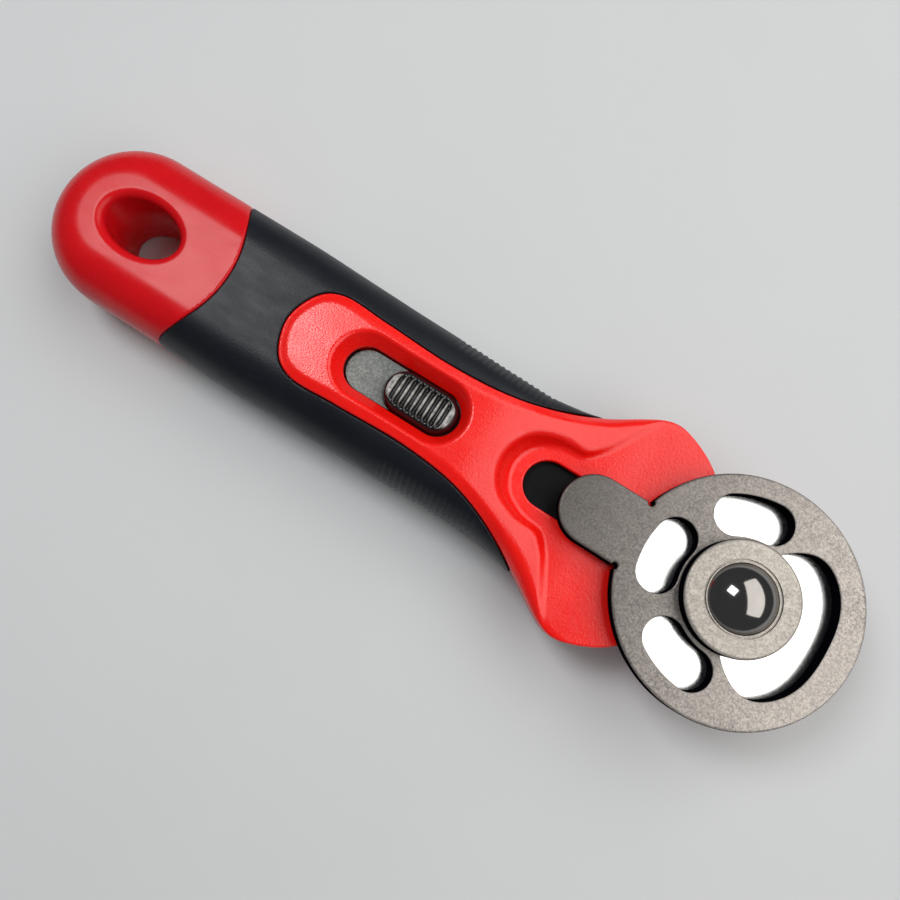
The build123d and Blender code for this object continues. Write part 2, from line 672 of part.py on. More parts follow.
def pivot_bolt():
    """The domed bolt: a square neck through collar and cover, then a plain threaded length."""
    sphere_radius = (DOME_RADIUS**2 + DOME_HEIGHT**2) / (2 * DOME_HEIGHT)
    dome = Pos(0, 0, FLANGE_TOP + DOME_HEIGHT - sphere_radius) * Sphere(sphere_radius)
    dome = dome & rod(DOME_RADIUS + 1, FLANGE_TOP, FLANGE_TOP + DOME_HEIGHT + 1)
    neck_length = FLANGE_TOP - HEAD_PARTING
    neck = Pos(0, 0, FLANGE_TOP - neck_length / 2) * Box(SQUARE_NECK, SQUARE_NECK, neck_length)
    shank = rod(BOLT_RADIUS, BOLT_END, HEAD_PARTING)
    shank = chamfer(shank.edges().sort_by(Axis.Z)[0], BOLT_TIP_BEVEL)
    return dome + neck + shank


def flat_washer():
    """The flat washer against the back of the head."""
    bottom = HEAD_BOTTOM - WASHER_THICKNESS
    return rod(WASHER_RADIUS, bottom, HEAD_BOTTOM) - rod(WASHER_BORE, bottom - 1, HEAD_BOTTOM + 1)


def spring_washer():
    """The split spring washer under the flat washer."""
    top = HEAD_BOTTOM - WASHER_THICKNESS
    bottom = top - SPRING_WASHER_THICKNESS
    ring = rod(SPRING_WASHER_RADIUS, bottom, top) - rod(WASHER_BORE, bottom - 1, top + 1)
    slice_box = Box(SPRING_WASHER_RADIUS, SPRING_WASHER_SPLIT, 2 * SPRING_WASHER_RADIUS)
    split = Pos(SPRING_WASHER_RADIUS, 0, top) * Rot(SPRING_WASHER_SPLIT_LEAN, 0, 0) * slice_box
    return ring - Rot(0, 0, SPRING_WASHER_SPLIT_TURN) * split


def hand_nut():
    """The fluted thumb nut at the back, with a hex pocket for its threaded insert."""
    knob = rod(NUT_RADIUS, NUT_BOTTOM, NUT_TOP)
    knob = fillet(knob.edges().sort_by(Axis.Z)[0], NUT_EDGE)
    for index in range(NUT_FLUTES):
        angle = 2 * pi * index / NUT_FLUTES
        x = (NUT_RADIUS + NUT_FLUTE_OUTSET) * cos(angle)
        y = (NUT_RADIUS + NUT_FLUTE_OUTSET) * sin(angle)
        knob = knob - rod(NUT_FLUTE_RADIUS, NUT_BOTTOM - PAST, NUT_TOP + PAST, x, y)
    knob = knob - rod(NUT_RECESS_RADIUS, INSERT_TOP - INSERT_SINK, NUT_TOP + PAST)
    knob = knob - rod(NUT_BORE_RADIUS, NUT_BOTTOM - PAST, INSERT_TOP)
    return knob - hexagon(INSERT_CLEARANCE, INSERT_BOTTOM, INSERT_TOP)


def hexagon(clearance, z0, z1):
    """A hexagonal bar with the insert's width across flats."""
    outline = RegularPolygon(INSERT_FLATS / 2 + clearance, 6, major_radius=False)
    return extrude(Pos(0, 0, z0) * outline, z1 - z0, dir=(0, 0, 1))


def nut_insert():
    """The brass hexagon nut moulded into the thumb nut."""
    insert = hexagon(0.0, INSERT_BOTTOM, INSERT_TOP)
    return insert - rod(BOLT_RADIUS + BOLT_CLEARANCE, INSERT_BOTTOM - PAST, INSERT_TOP + PAST)


# ---------------------------------------------------------------- output


PARTS = {
    "body_shell": body_shell,
    "grip_sleeve": grip_sleeve,
    "front_cover": front_cover,
    "cover_screws": cover_screws,
    "guard_slider": guard_slider,
    "slide_button": slide_button,
    "detent_spring": detent_spring,
    "blade_guard": blade_guard,
    "guard_screw": guard_screw,
    "cutting_blade": cutting_blade,
    "pivot_collar": pivot_collar,
    "pivot_bolt": pivot_bolt,
    "flat_washer": flat_washer,
    "spring_washer": spring_washer,
    "hand_nut": hand_nut,
    "nut_insert": nut_insert,
}

os.makedirs("parts", exist_ok=True)
for name, build in PARTS.items():
    made = build()
    if isinstance(made, list):
        made = Compound(children=made)
    export_step(made, os.path.join("parts", name + ".step"))
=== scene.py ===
import bpy
import numpy as np
import openvdb
from mathutils import Matrix, Vector


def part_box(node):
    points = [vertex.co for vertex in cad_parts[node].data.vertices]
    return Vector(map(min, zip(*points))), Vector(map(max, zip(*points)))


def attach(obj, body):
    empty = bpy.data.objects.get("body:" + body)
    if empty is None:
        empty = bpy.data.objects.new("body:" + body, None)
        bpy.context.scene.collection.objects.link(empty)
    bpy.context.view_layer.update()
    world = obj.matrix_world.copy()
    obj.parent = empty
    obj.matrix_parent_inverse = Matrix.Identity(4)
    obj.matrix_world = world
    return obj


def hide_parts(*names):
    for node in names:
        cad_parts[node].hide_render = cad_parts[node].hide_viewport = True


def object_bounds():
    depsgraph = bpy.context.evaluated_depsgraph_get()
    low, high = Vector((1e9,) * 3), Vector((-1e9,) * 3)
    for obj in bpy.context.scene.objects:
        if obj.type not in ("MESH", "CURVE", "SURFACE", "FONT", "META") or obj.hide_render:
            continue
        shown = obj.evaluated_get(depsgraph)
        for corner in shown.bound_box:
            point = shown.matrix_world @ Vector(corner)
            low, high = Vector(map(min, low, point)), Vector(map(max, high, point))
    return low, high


# Looks of the rotary cutter. Shapes below are in millimetres in the part's frame: the origin is on the
# blade's axis at the head's seat, +Z points from the seat to the guard, and the handle runs along -X.

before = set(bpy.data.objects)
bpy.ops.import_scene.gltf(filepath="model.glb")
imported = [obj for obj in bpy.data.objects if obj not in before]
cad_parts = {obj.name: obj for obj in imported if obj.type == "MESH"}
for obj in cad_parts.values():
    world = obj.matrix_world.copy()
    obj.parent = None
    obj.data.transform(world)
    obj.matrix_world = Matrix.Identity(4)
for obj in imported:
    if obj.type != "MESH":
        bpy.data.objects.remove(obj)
CAD_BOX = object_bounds()
MM = 0.001


def low(node):
    """Lowest corner of a CAD node, in millimetres."""
    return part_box(node)[0] / MM


def high(node):
    """Highest corner of a CAD node, in millimetres."""
    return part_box(node)[1] / MM


# ---- sizes read from the frame ----
HANDLE_BOTTOM = low("body_shell").z
HANDLE_TOP = high("body_shell").z
TAIL_END = low("body_shell").x
TONGUE_SHORTENING = 0.9
COVER_REAR = low("front_cover").x + TONGUE_SHORTENING
HEAD_RADIUS = high("front_cover").x
BUTTON_LOW, BUTTON_HIGH = low("slide_button"), high("slide_button")
BUTTON_MIDDLE = (BUTTON_LOW.x + BUTTON_HIGH.x) / 2
SLIDER_TOP = high("guard_slider").z

# ---- outer form of the handle: x, half width, top, bottom, corner radius ----
STATIONS = np.array([
    (-126.0, 17.80, 5.5, -16.1, 9.3),
    (-111.0, 17.85, 5.5, -16.1, 9.3),
    (-96.0, 17.50, 5.5, -16.1, 9.3),
    (-82.0, 17.10, 5.5, -16.1, 9.2),
    (-70.0, 16.90, 5.5, -16.1, 9.0),
    (-60.0, 16.65, 5.1, -16.1, 8.5),
    (-51.0, 16.60, 3.9, -15.6, 7.5),
    (-44.0, 17.40, 2.6, -14.2, 6.2),
    (-38.0, 19.40, 1.5, -12.3, 5.0),
    (-32.0, 23.00, 0.7, -10.4, 3.8),
    (-26.0, 26.20, 0.1, -9.2, 3.0),
    (-20.0, 27.00, 0.0, -9.0, 3.0),
])
SEAM_CENTRE = -142.6
SEAM_RADIUS = 24.0

# ---- front cover ----
# Half outline in plan, from the rear of the tongue to where the head's front arc takes over.
COVER_EDGE = [
    (COVER_REAR, 0.0), (-100.6, 7.3), (-96.5, 9.8), (-86.0, 9.7), (-70.0, 9.2), (-58.0, 10.3), (-50.0, 12.6),
    (-42.2, 16.3), (-35.1, 20.4), (-29.1, 24.0), (-25.4, 25.0), (-21.8, 24.3), (-15.6, 21.2), (-8.0, 13.856),
]
COVER_LOWEST = (COVER_REAR, -26, -5)
COVER_HIGHEST = (HEAD_RADIUS, 26, 7)
COVER_PROUD = 0.8
PROUD_END = -38.0
COVER_CROWN = 0.55
CROWN_WIDTH = 2.4
CROWN_FADE = (-34.0, -46.0)
COVER_EDGE_ROUND = 0.35
PARTING_ROUND = 0.15
PLATEAU_RIM_ROUND = 0.9
PLATEAU_FLOOR_ROUND = 0.8
POCKET_ROUND = 0.25
WINDOW_ROUND = 0.45
TONGUE_PARTING = 1.9
HEAD_PARTING = -4.0
PARTING_BEND = (-58.0, -46.0)

# Half outline of the plateau and of the pocket for the guard's tail, at the floor.
PLATEAU = [
    (-49.7, 0.0), (-47.9, 5.0), (-43.2, 7.9), (-38.2, 8.9),
    (-35.2, 11.8), (-32.9, 15.6), (-28.4, 24.2), (-24.0, 34.0),
]
PLATEAU_SLOPE = 0.55
POCKET_FLOOR_THICKNESS = 1.6
POCKET_OVERCUT = 1

# Slots with round ends: x at the rear, x at the front, half width.
POCKET_SLOT = (-46.5, -28.6, 4.95)
WINDOW = (-89.4, -63.0, 4.8)
WINDOW_BEVEL_BOTTOM = 3.0
WINDOW_BEVEL_SLOPE = 0.68

# ---- grip ----
SLEEVE_THICKNESS = 2.4
SLEEVE_GAP = 0.2
SLEEVE_TAPER = (-45.0, -27.0)
SLEEVE_TAPER_DEPTH = 1.6
SLEEVE_FRONT = -28.0
SLEEVE_HEAD_GAP = 0.3
SLEEVE_EDGE_ROUND = 0.3
SEAM_GAP = 0.15
SLEEVE_SEAM_ROUND = 0.25
RIB_START, RIB_END, RIB_PITCH, RIB_DEPTH = -73.1, -47.9, 1.4, 0.24
RIB_FADE = 2
RIB_FOOT = (2.5, 5)
RIB_TOP = (4.0, 1.5)

# ---- tail, core and the lower half of the head ----
TAIL_LENGTH = 17.6
TAIL_HALF_WIDTH = 17.8
TAIL_CENTRE = TAIL_END + TAIL_LENGTH
TAIL_ROUND = 9.3
TAIL_SEAM_ROUND = 0.4
HANG_HOLE_X, HANG_HOLE_LENGTH, HANG_HOLE_WIDTH = -140.05, 8.75, 5.7
HANG_HOLE_ROUND = 1.9
HEAD_START = -39.5
HEAD_EDGE_ROUND = 0.9
CORE_GAP = 0.05
CORE_PAST_HEAD = 2
# Rooms: x at the rear, x at the front, half width, bottom.
SLIDER_CHANNEL = (-98.2, -52.6, 4.9, -0.6)
SPRING_POCKET = (-94.2, -66.8, 3.1, -1.7)
FOOT_ROOM = (-65.2, POCKET_SLOT[1], 6.6, -6.4)
LINK_ROOM = (-65.2, SLIDER_CHANNEL[1], SLIDER_CHANNEL[2], -6.4)
BOLT_HOLE_RADIUS = 2.55
SCREW_HOLE_RADIUS = 1.3
SCREW_BORE_RADIUS = 2.9
SLEEVE_PORT_RADIUS = 3.2
# Each screw: x, y, and the height its head seats at.
COVER_SCREWS = [(-30.5, 16.5, -7.2), (-30.5, -16.5, -7.2), (-101.0, 0.0, -1.7)]

# ---- button ----
BUTTON_RIBS = 10
BUTTON_RIB_PITCH = 1.4
BUTTON_RIB_DEPTH = 0.6
BUTTON_TAPER = 0.3
BUTTON_TAPER_START = 1.0
BUTTON_CROWN = 0.035
BUTTON_ROUND = 0.5
BUTTON_GAP = 0.02
BUTTON_RIB_INSET = (-0.4, -1.6)
BUTTON_RIB_FADE = 0.1
# Turns the height above the ribbed top, which is steeper than a distance, into about a distance.
BUTTON_TOP_SCALE = 0.7
PEG_HALF_LENGTH, PEG_HALF_WIDTH, PEG_OVERLAP = 3, 2, 0.5

# ---- where colours change ----
# Painted highlight and wear on the button's rib crests: pale between these depths below its top; it fades out
# past the ribbed length over CREST_FADE, in millimetres.
CREST_BAND = (0.32, 0.08)
CREST_FADE = 0.3
# Painted shade: the slider is black forward of this x, in millimetres, under the head.
SLIDER_SHADE_START = -58.5
# Painted shade on the guard: its colour darkens towards the tail, fading out between these x values, in
# millimetres.
GUARD_PAINTED_SHADE = (-38.0, 14.0)

# ---- spacing of the grids that the moulded pieces are made on ----
COVER_STEP, BODY_STEP, SLEEVE_STEP, BUTTON_STEP = 0.3, 0.4, 0.3, 0.12


# ---------------------------------------------------------------- distance fields


def round_max(a, b, radius):
    """The larger of two distances, with the edge where they cross rounded to radius."""
    bulge = np.hypot(np.maximum(a + radius, 0), np.maximum(b + radius, 0))
    return np.minimum(-radius, np.maximum(a, b)) + bulge


def smooth_step(low_edge, high_edge, value):
    """From 0 at low_edge to 1 at high_edge."""
    t = np.clip((value - low_edge) / (high_edge - low_edge), 0, 1)
    return t * t * (3 - 2 * t)


def stadium(x, y, x0, x1, half_y):
    """Distance from a flat slot shape along X with round ends."""
    beyond = np.maximum(np.maximum(x0 + half_y - x, x - (x1 - half_y)), 0)
    return np.hypot(beyond, y) - half_y


def box(x, y, z, x0, x1, half_y, z0, z1):
    """Distance from a box centred on Y = 0, exact on its faces."""
    return np.maximum.reduce(np.broadcast_arrays(x0 - x, x - x1, np.abs(y) - half_y, z0 - z, z - z1))


def station_slopes():
    """Slopes for curves through the stations that never swing past them."""
    steps = np.diff(STATIONS[:, 1:], axis=0) / np.diff(STATIONS[:, :1], axis=0)
    before, after = steps[:-1], steps[1:]
    total = np.where(before * after > 0, before + after, 1.0)
    inner = np.where(before * after > 0, 2 * before * after / total, 0.0)
    return np.vstack([steps[:1], inner, steps[-1:]])


STATION_SLOPES = station_slopes()


def stations_at(x):
    """Half width, top, bottom and corner radius of the handle at x."""
    xs = STATIONS[:, 0]
    x = np.clip(x, xs[0], xs[-1])
    index = np.clip(np.searchsorted(xs, x, side="right") - 1, 0, len(xs) - 2)
    length = xs[index + 1] - xs[index]
    t = (x - xs[index]) / length
    result = []
    for column in range(4):
        v0, v1 = STATIONS[index, column + 1], STATIONS[index + 1, column + 1]
        m0, m1 = STATION_SLOPES[index, column] * length, STATION_SLOPES[index + 1, column] * length
        result.append(v0 + (v1 - v0) * t * t * (3 - 2 * t) + m0 * t * (1 - t) ** 2 - m1 * t * t * (1 - t))
    return result


def handle(x, y, z, grow=0.0, raise_top=0.0):
    """Distance from the outer form of grip, neck and head."""
    half_width, top, bottom, corner = stations_at(x)
    top = top + raise_top
    half_height = (top - bottom) / 2 + grow
    across = np.abs(y) - (half_width + grow - corner)
    upright = np.abs(z - (top + bottom) / 2) - (half_height - corner)
    outside = np.hypot(np.maximum(across, 0), np.maximum(upright, 0))
    return outside + np.minimum(np.maximum(across, upright), 0) - corner


def smooth_curve(points, per_span=10):
    """Points along a smooth curve through the given ones; the first is on the axis Y = 0."""
    points = [np.array(p) for p in points]
    before = points[1] * (1, -1)
    after = 2 * points[-1] - points[-2]
    knots = [before] + points + [after]
    result = []
    for p0, p1, p2, p3 in zip(knots, knots[1:], knots[2:], knots[3:]):
        t0 = 0.0
        t1 = t0 + np.linalg.norm(p1 - p0) ** 0.5
        t2 = t1 + np.linalg.norm(p2 - p1) ** 0.5
        t3 = t2 + np.linalg.norm(p3 - p2) ** 0.5
        for t in np.linspace(t1, t2, per_span, endpoint=False):
            a1 = p0 * (t1 - t) / (t1 - t0) + p1 * (t - t0) / (t1 - t0)
            a2 = p1 * (t2 - t) / (t2 - t1) + p2 * (t - t1) / (t2 - t1)
            a3 = p2 * (t3 - t) / (t3 - t2) + p3 * (t - t2) / (t3 - t2)
            b1 = a1 * (t2 - t) / (t2 - t0) + a2 * (t - t0) / (t2 - t0)
            b2 = a2 * (t3 - t) / (t3 - t1) + a3 * (t - t1) / (t3 - t1)
            result.append(b1 * (t2 - t) / (t2 - t1) + b2 * (t - t1) / (t2 - t1))
    return result + [points[-1]]


def cover_outline():
    """The cover's half outline: the smooth edge, then the arc round the front of the head."""
    arc = [HEAD_RADIUS * np.array((np.cos(a), np.sin(a))) for a in np.radians(np.arange(115, -1, -5))]
    return smooth_curve(COVER_EDGE) + arc


def plateau_outline():
    """The plateau's half outline, closed far in front of the head."""
    far = 60.0
    corners = [(PLATEAU[-1][0], far), (far, far), (far, 0.0)]
    return smooth_curve(PLATEAU) + [np.array(corner) for corner in corners]


def outline_distance(x, y, outline):
    """Distance from a closed outline given by its half with y >= 0; negative inside."""
    x, y = np.broadcast_arrays(x, np.abs(y))
    nearest = np.full(x.shape, np.inf)
    inside = np.zeros(x.shape, bool)
    for (xa, ya), (xb, yb) in zip(outline, outline[1:]):
        ex, ey = xb - xa, yb - ya
        t = np.clip(((x - xa) * ex + (y - ya) * ey) / (ex * ex + ey * ey), 0, 1)
        nearest = np.minimum(nearest, (x - xa - t * ex) ** 2 + (y - ya - t * ey) ** 2)
        height = ya + (x - xa) * ey / (ex or 1.0)
        inside ^= ((xa > x) != (xb > x)) & (y < height)
    return np.where(inside, -1.0, 1.0) * np.sqrt(nearest)


COVER_OUTLINE = cover_outline()
PLATEAU_OUTLINE = plateau_outline()


def parting(x):
    """Height of the parting line between the body and the cover at x."""
    return np.interp(x, PARTING_BEND, (TONGUE_PARTING, HEAD_PARTING))


# ---------------------------------------------------------------- pieces made from fields


def settle(points, field):
    """Points moved onto the surface where field is zero, and the outward normals there."""
    reach, rounds, least_steepness, furthest = 0.04, 3, 0.25, 0.2
    for _ in range(rounds):
        value = field(*points.T)
        slope = np.empty_like(points)
        for axis in range(3):
            step = np.zeros(3)
            step[axis] = reach
            slope[:, axis] = (field(*(points + step).T) - field(*(points - step).T)) / (2 * reach)
        steepness = np.maximum((slope**2).sum(1, keepdims=True), least_steepness)
        points = points - np.clip(value[:, None] * slope / steepness, -furthest, furthest)
    return points, slope / np.sqrt(steepness)


def piece_from_field(name, field, lowest, highest, step):
    """A closed quad mesh of the surface where field(x, y, z) is zero."""
    band = 3 * step
    lowest = np.array(lowest) - band
    counts = np.ceil((np.array(highest) + band - lowest) / step).astype(int)
    axes = [start + step * np.arange(count) for start, count in zip(lowest, counts)]
    values = field(*np.meshgrid(*axes, indexing="ij", sparse=True))
    grid = openvdb.FloatGrid(band)
    grid.copyFromArray(np.clip(values, -band, band).astype(np.float32))
    points, quads = grid.convertToQuads(isovalue=0.0)
    points, normals = settle(lowest + points * step, field)
    mesh = bpy.data.meshes.new(name)
    mesh.from_pydata((points * MM).tolist(), [], quads.tolist())
    mesh.polygons.foreach_set("use_smooth", np.ones(len(quads), bool))
    mesh.normals_split_custom_set_from_vertices(normals.tolist())
    piece = bpy.data.objects.new(name, mesh)
    bpy.context.scene.collection.objects.link(piece)
    return piece


def cover_field(x, y, z):
    """The bright red front: the tongue along the grip and the face of the head."""
    plan = outline_distance(x, y, COVER_OUTLINE)
    proud = COVER_PROUD * smooth_step(PROUD_END, PARTING_BEND[0], x)
    crown = COVER_CROWN * smooth_step(-CROWN_WIDTH, 0.0, plan) * smooth_step(*CROWN_FADE, x)
    top = handle(x, y, z, raise_top=proud) + crown
    shape = round_max(plan, top, COVER_EDGE_ROUND)
    shape = round_max(shape, parting(x) - z, PARTING_ROUND)
    shape = round_max(shape, -plateau_cut(x, y, z), PLATEAU_RIM_ROUND)
    slot = np.maximum(stadium(x, y, *POCKET_SLOT), -POCKET_FLOOR_THICKNESS - POCKET_OVERCUT - z)
    shape = round_max(shape, -slot, POCKET_ROUND)
    shape = round_max(shape, -window_cut(x, y, z), WINDOW_ROUND)
    return np.maximum(shape, -slider_room(x, y, z))


def plateau_cut(x, y, z):
    """The step down to the blade's seat, with the pocket that the guard's tail slides in."""
    wall = outline_distance(x, y, PLATEAU_OUTLINE) - PLATEAU_SLOPE * z
    return round_max(wall / np.hypot(1, PLATEAU_SLOPE), -z, PLATEAU_FLOOR_ROUND)


def window_cut(x, y, z):
    """The opening that the button stands in: upright walls below, and a bevel above."""
    outline = stadium(x, y, *WINDOW)
    bevel = (outline - WINDOW_BEVEL_SLOPE * (z - WINDOW_BEVEL_BOTTOM)) / np.hypot(1, WINDOW_BEVEL_SLOPE)
    return np.minimum(outline, np.maximum(bevel, WINDOW_BEVEL_BOTTOM - z))


def slider_room(x, y, z):
    """The room under the cover for the slider's link and foot."""
    foot = box(x, y, z, *FOOT_ROOM, -POCKET_FLOOR_THICKNESS)
    link = box(x, y, z, *LINK_ROOM, TONGUE_PARTING)
    return np.minimum(foot, link)


def sleeve_field(x, y, z):
    """The soft black grip: open along the top for the tongue, ribbed on both sides, thin at the head."""
    form = handle(x, y, z)
    along = smooth_step(RIB_START, RIB_START + RIB_FADE, x) * smooth_step(RIB_END, RIB_END - RIB_FADE, x)
    upright = smooth_step(HANDLE_BOTTOM + RIB_FOOT[0], HANDLE_BOTTOM + RIB_FOOT[1], z)
    upright = upright * smooth_step(*RIB_TOP, z)
    ripple = 0.5 - 0.5 * np.cos(2 * np.pi * (x - RIB_START) / RIB_PITCH)
    taper = SLEEVE_TAPER_DEPTH * smooth_step(*SLEEVE_TAPER, x)
    outer = form + RIB_DEPTH * ripple * along * upright + taper
    shape = np.maximum(outer, -(form + SLEEVE_THICKNESS))
    seam = SEAM_RADIUS + SEAM_GAP - np.hypot(x - SEAM_CENTRE, y)
    shape = round_max(shape, seam, SLEEVE_SEAM_ROUND)
    shape = np.maximum(shape, x - SLEEVE_FRONT)
    plan = outline_distance(x, y, COVER_OUTLINE) - SLEEVE_GAP
    opening = np.maximum(plan, np.minimum(parting(x) - SLEEVE_GAP - z, HEAD_START - SLEEVE_HEAD_GAP - x))
    shape = round_max(shape, -opening, SLEEVE_EDGE_ROUND)
    port = np.hypot(x - COVER_SCREWS[2][0], y) - SLEEVE_PORT_RADIUS
    return np.maximum(shape, -np.maximum(port, z))


def ellipse(x, y, length, width):
    """Distance from an ellipse with these half axes, close to its edge."""
    reach = np.hypot(x / length, y / width)
    return reach * (reach - 1) / np.maximum(np.hypot(x / length**2, y / width**2), 1e-6)


def tail_field(x, y, z):
    """The rounded end of the handle, cut on an arc where the grip starts, with its hang hole."""
    beyond = np.minimum(x - TAIL_CENTRE, 0) * TAIL_HALF_WIDTH / TAIL_LENGTH
    plan = np.hypot(beyond, y) - TAIL_HALF_WIDTH
    upright = np.abs(z - (HANDLE_TOP + HANDLE_BOTTOM) / 2) - (HANDLE_TOP - HANDLE_BOTTOM) / 2
    shape = round_max(plan, upright, TAIL_ROUND)
    shape = round_max(shape, np.hypot(x - SEAM_CENTRE, y) - SEAM_RADIUS, TAIL_SEAM_ROUND)
    hole = ellipse(x - HANG_HOLE_X, y, HANG_HOLE_LENGTH, HANG_HOLE_WIDTH)
    return round_max(shape, -hole, HANG_HOLE_ROUND)


def body_field(x, y, z):
    """The deep red body: the tail, the core under the grip and the lower half of the head."""
    form = handle(x, y, z)
    plan = outline_distance(x, y, COVER_OUTLINE)
    length = np.maximum(x - HEAD_START - CORE_PAST_HEAD, STATIONS[0][0] - x)
    core = np.maximum(form + SLEEVE_THICKNESS + CORE_GAP, length)
    bed = np.maximum(plan - SLEEVE_GAP, parting(x) - CORE_GAP - z)
    core = np.maximum(core, -bed)
    height = np.maximum(z - HEAD_PARTING + CORE_GAP, HEAD_START - x)
    head = np.maximum(round_max(plan, form, HEAD_EDGE_ROUND), height)
    shape = np.minimum(np.minimum(core, head), tail_field(x, y, z))
    channel = box(x, y, z, *SLIDER_CHANNEL, HANDLE_TOP)
    pocket = box(x, y, z, *SPRING_POCKET, 0.0)
    rooms = np.minimum(np.minimum(channel, pocket), slider_room(x, y, z))
    shape = np.maximum(shape, -rooms)
    for centre_x, centre_y, seat in COVER_SCREWS:
        off_axis = np.hypot(x - centre_x, y - centre_y)
        bore = np.maximum(off_axis - SCREW_BORE_RADIUS, z - seat)
        shape = np.maximum(shape, -np.minimum(bore, off_axis - SCREW_HOLE_RADIUS))
    return np.maximum(shape, BOLT_HOLE_RADIUS - np.hypot(x, y))


def button_field(x, y, z):
    """The thumb button: tapered, crowned across, with cross ribs."""
    outline = stadium(x, y, BUTTON_LOW.x, BUTTON_HIGH.x, BUTTON_HIGH.y)
    wall = outline + BUTTON_TAPER * np.maximum(z - SLIDER_TOP - BUTTON_TAPER_START, 0)
    inset = smooth_step(*BUTTON_RIB_INSET, wall)
    phase = 2 * np.pi * (x - BUTTON_MIDDLE) / BUTTON_RIB_PITCH
    groove = 0.5 + 0.5 * np.cos(phase)
    half, off_middle = BUTTON_RIBS / 2, np.abs(x - BUTTON_MIDDLE) / BUTTON_RIB_PITCH
    ribbed = smooth_step(half + BUTTON_RIB_FADE, half - BUTTON_RIB_FADE, off_middle)
    crown = BUTTON_CROWN * y * y
    top = z - BUTTON_HIGH.z + crown + BUTTON_RIB_DEPTH * groove * inset * ribbed
    shape = round_max(wall, top * BUTTON_TOP_SCALE, BUTTON_ROUND)
    body = np.maximum(shape, SLIDER_TOP + BUTTON_GAP - z)
    peg_rear, peg_front = BUTTON_MIDDLE - PEG_HALF_LENGTH, BUTTON_MIDDLE + PEG_HALF_LENGTH
    peg = box(x, y, z, peg_rear, peg_front, PEG_HALF_WIDTH, BUTTON_LOW.z, SLIDER_TOP + PEG_OVERLAP)
    return np.minimum(body, peg)


# ---------------------------------------------------------------- materials


class Shader:
    """A material's node tree around one Principled shader, with object coordinates in metres."""

    def __init__(self, name):
        self.material = bpy.data.materials.new(name)
        self.material.use_nodes = True
        self.tree = self.material.node_tree
        self.surface = self.tree.nodes["Principled BSDF"]
        self.place = self.tree.nodes.new("ShaderNodeTexCoord").outputs["Object"]

    def node(self, kind, inputs=None, **settings):
        """A node with its settings, and its inputs set or linked."""
        made = self.tree.nodes.new(kind)
        for key, value in settings.items():
            setattr(made, key, value)
        for key, value in (inputs or {}).items():
            self.put(made.inputs[key], value)
        return made

    def put(self, socket, value):
        """Links value into socket if it is an output, and sets it otherwise."""
        if isinstance(value, bpy.types.NodeSocket):
            self.tree.links.new(value, socket)
        else:
            socket.default_value = value

    def set(self, **values):
        """Sets or links the Principled shader's inputs."""
        for key, value in values.items():
            self.put(self.surface.inputs[key.replace("_", " ")], value)

    def noise(self, size, detail=3.0, roughness=0.6, stretch=(1, 1, 1)):
        """Noise with features about size millimetres across."""
        mapping = self.node("ShaderNodeMapping", {"Vector": self.place, "Scale": stretch})
        inputs = {"Vector": mapping.outputs[0], "Scale": 1 / (size * MM)}
        inputs.update({"Detail": detail, "Roughness": roughness})
        return self.node("ShaderNodeTexNoise", inputs).outputs["Fac"]

    def range(self, value, low_in, high_in, low_out, high_out):
        """value mapped from one range to another, clamped."""
        inputs = {"Value": value, "From Min": low_in, "From Max": high_in}
        inputs.update({"To Min": low_out, "To Max": high_out})
        return self.node("ShaderNodeMapRange", inputs).outputs["Result"]

    def mix(self, share, a, b):
        """Colour a where share is 0 and b where it is 1."""
        made = self.node("ShaderNodeMix", data_type="RGBA")
        self.put(made.inputs[0], share)
        self.put(made.inputs[6], a)
        self.put(made.inputs[7], b)
        return made.outputs[2]

    def math(self, operation, a, b=0.0):
        """One arithmetic step."""
        made = self.node("ShaderNodeMath", operation=operation)
        self.put(made.inputs[0], a)
        self.put(made.inputs[1], b)
        return made.outputs[0]

    def bump(self, height, depth, normal=None):
        """A bump of depth millimetres over height's range of 0 to 1."""
        inputs = {"Height": height, "Distance": depth * MM, "Strength": 1.0}
        if normal is not None:
            inputs["Normal"] = normal
        return self.node("ShaderNodeBump", inputs).outputs["Normal"]

    def facing_up(self, steep=0.45, flat=0.75):
        """From 0 on walls to 1 on faces that look along +Z."""
        normal = self.node("ShaderNodeNewGeometry").outputs["Normal"]
        height = self.node("ShaderNodeSeparateXYZ", {"Vector": normal}).outputs[2]
        return self.range(height, steep, flat, 0.0, 1.0)


def colour(red, green, blue):
    """An opaque colour."""
    return (red, green, blue, 1.0)


def plastic(name, base, dark, roughness, grain_size, grain_depth):
    """Moulded plastic: cloudy colour, fine grain, and dust in the roughness."""
    shader = Shader(name)
    cloud = shader.noise(9.0, 3.0)
    speck = shader.noise(grain_size * 1.4, 2.0)
    tone = shader.mix(shader.range(cloud, 0.35, 0.65, 0.0, 0.35), base, dark)
    tone = shader.mix(shader.range(speck, 0.35, 0.75, 0.0, 0.3), tone, dark)
    smear = shader.noise(4.0, 4.0, stretch=(0.4, 1, 1))
    rough = shader.range(smear, 0.3, 0.7, roughness - 0.05, roughness + 0.06)
    grain = shader.noise(grain_size, 2.0, 0.5)
    shader.set(Base_Color=tone, Roughness=rough, Normal=shader.bump(grain, grain_depth))
    return shader


def red_cover():
    """Bright red with a fine satin grain that breaks up its glare."""
    shader = plastic("cover_red", colour(0.92, 0.008, 0.004), colour(0.78, 0.003, 0.003), 0.25, 0.42, 0.05)
    shader.set(Specular_IOR_Level=0.55)
    return shader.material


def red_body():
    """Deeper red and smoother than the cover."""
    shader = plastic("body_red", colour(0.62, 0.006, 0.010), colour(0.48, 0.003, 0.008), 0.25, 0.5, 0.008)
    shader.set(Specular_IOR_Level=0.22)
    return shader.material


def black_grip():
    """Soft blue-black rubber with a fine matte grain."""
    shader = plastic("grip_rubber", colour(0.006, 0.008, 0.013), colour(0.002, 0.003, 0.005), 0.42, 0.4, 0.04)
    shader.set(Specular_IOR_Level=0.3)
    return shader.material


